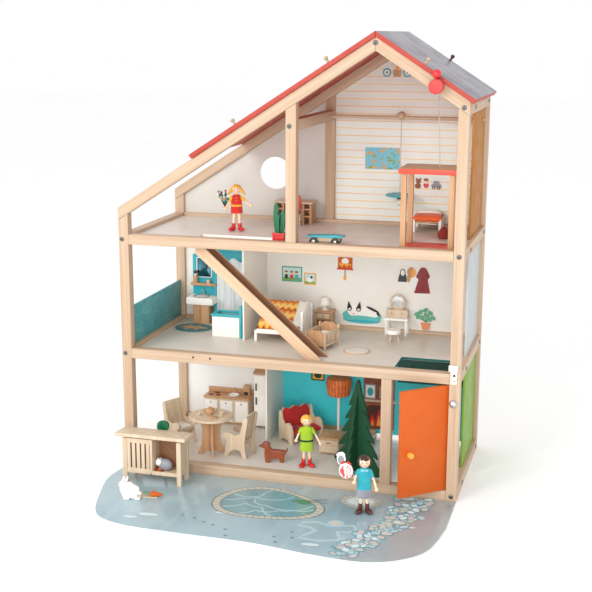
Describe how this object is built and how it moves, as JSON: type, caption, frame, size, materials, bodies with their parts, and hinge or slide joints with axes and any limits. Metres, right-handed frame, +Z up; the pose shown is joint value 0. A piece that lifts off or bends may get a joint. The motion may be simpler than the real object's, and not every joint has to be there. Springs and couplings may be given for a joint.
{
  "type": "dollhouse",
  "caption": "Wooden dollhouse with an open front, a pitched roof, a hinged door, a cranked lift, a sliding pendant lamp, a slide and a garden mat.",
  "frame": {"origin": "on the surface that the house stands on, under the middle of the whole part's box, garden mat and open door included", "axes": "+X to the right of someone facing the open front, +Y to the back, +Z up"},
  "size_m": [0.738, 0.6666, 0.9248],
  "materials": {
    "birch": "satin lacquer",
    "lift_wood": "satin lacquer",
    "white_print": "printed satin board",
    "striped_print": "printed satin board",
    "living_print": "printed satin board",
    "floor_grey": "semi-gloss laminate",
    "teal_print": "printed satin board",
    "green_print": "printed satin board",
    "pale_print": "printed satin board",
    "mustard_print": "printed satin board",
    "roof_paint": "gloss painted",
    "red_paint": "gloss painted",
    "orange_paint": "satin painted",
    "yellow_paint": "gloss painted",
    "steel": "polished",
    "cord": "matt",
    "mat_print": "gloss printed board"
  },
  "bodies": {
    "root": {"attic_back_beam": "birch", "attic_floor": "floor_grey", "attic_front_beam": "birch", "attic_left_back_wall": "white_print", "attic_left_beam": "birch", "attic_middle_beam": "birch", "attic_right_back_wall": "striped_print", "attic_right_beam": "birch", "attic_right_panel": "mustard_print", "back_attic_post": "birch", "back_left_post": "birch", "back_left_rafter": "birch", "back_right_post": "birch", "back_right_rafter": "birch", "door_bell": "steel", "door_hinge_pin": "steel", "door_post": "birch", "eave_beam": "birch", "first_back_beam": "birch", "first_back_wall": "white_print", "first_floor": "floor_grey", "first_front_beam": "birch", "first_left_beam": "birch", "first_left_half_wall": "teal_print", "first_partition": "white_print", "first_right_beam": "birch", "first_right_panel": "pale_print", "front_attic_post": "birch", "front_left_post": "birch", "front_left_rafter": "birch", "front_right_post": "birch", "front_right_rafter": "birch", "garden_mat": "mat_print", "ground_back_beam": "birch", "ground_back_wall": "living_print", "ground_floor": "floor_grey", "ground_front_beam": "birch", "ground_left_beam": "birch", "ground_partition": "white_print", "ground_right_beam": "birch", "ground_right_panel": "green_print", "lamp_rod": "birch", "left_roof_board": "roof_paint", "lift_rope": "cord", "right_roof_board": "roof_paint", "slide": "lift_wood"},
    "door": {"door_leaf": "orange_paint", "door_knob": "yellow_paint"},
    "lift": {"lift_floor": "red_paint", "lift_roof": "red_paint", "lift_front_left_post": "lift_wood", "lift_front_right_post": "lift_wood", "lift_back_left_post": "lift_wood", "lift_back_right_post": "lift_wood"},
    "crank": {"crank_disc": "red_paint", "crank_handle": "red_paint", "crank_axle": "birch"},
    "lamp_runner": {"lamp_bead": "birch"},
    "lamp": {"lamp_cord": "cord", "lamp_shade": "teal_print"}
  },
  "joints": [
    {"name": "door_hinge", "type": "hinge", "parent": "root", "child": "door", "pos_m": [0.3321, -0.00368, 0.0215], "axis": [0, 0, 1], "range_deg": [-42, 48]},
    {"name": "lift_slide", "type": "slide", "parent": "root", "child": "lift", "axis": [0, 0, 1], "range_m": [-0.4908, 0]},
    {"name": "crank_spin", "type": "hinge", "parent": "root", "child": "crank", "pos_m": [0.2951, -0.01268, 0.82411], "axis": [0, 1, 0], "range_deg": [-3200, 0]},
    {"name": "lamp_slide", "type": "slide", "parent": "root", "child": "lamp_runner", "axis": [1, 0, 0], "range_m": [-0.075, 0.08]},
    {"name": "lamp_swing", "type": "hinge", "parent": "lamp_runner", "child": "lamp", "pos_m": [0.1751, 0.27232, 0.74425], "axis": [0, 1, 0], "range_deg": [-15, 15]}
  ],
  "couplings": [
    {"joint": "crank_spin", "follows": "lift_slide", "rad_per_m": 113.64}
  ]
}
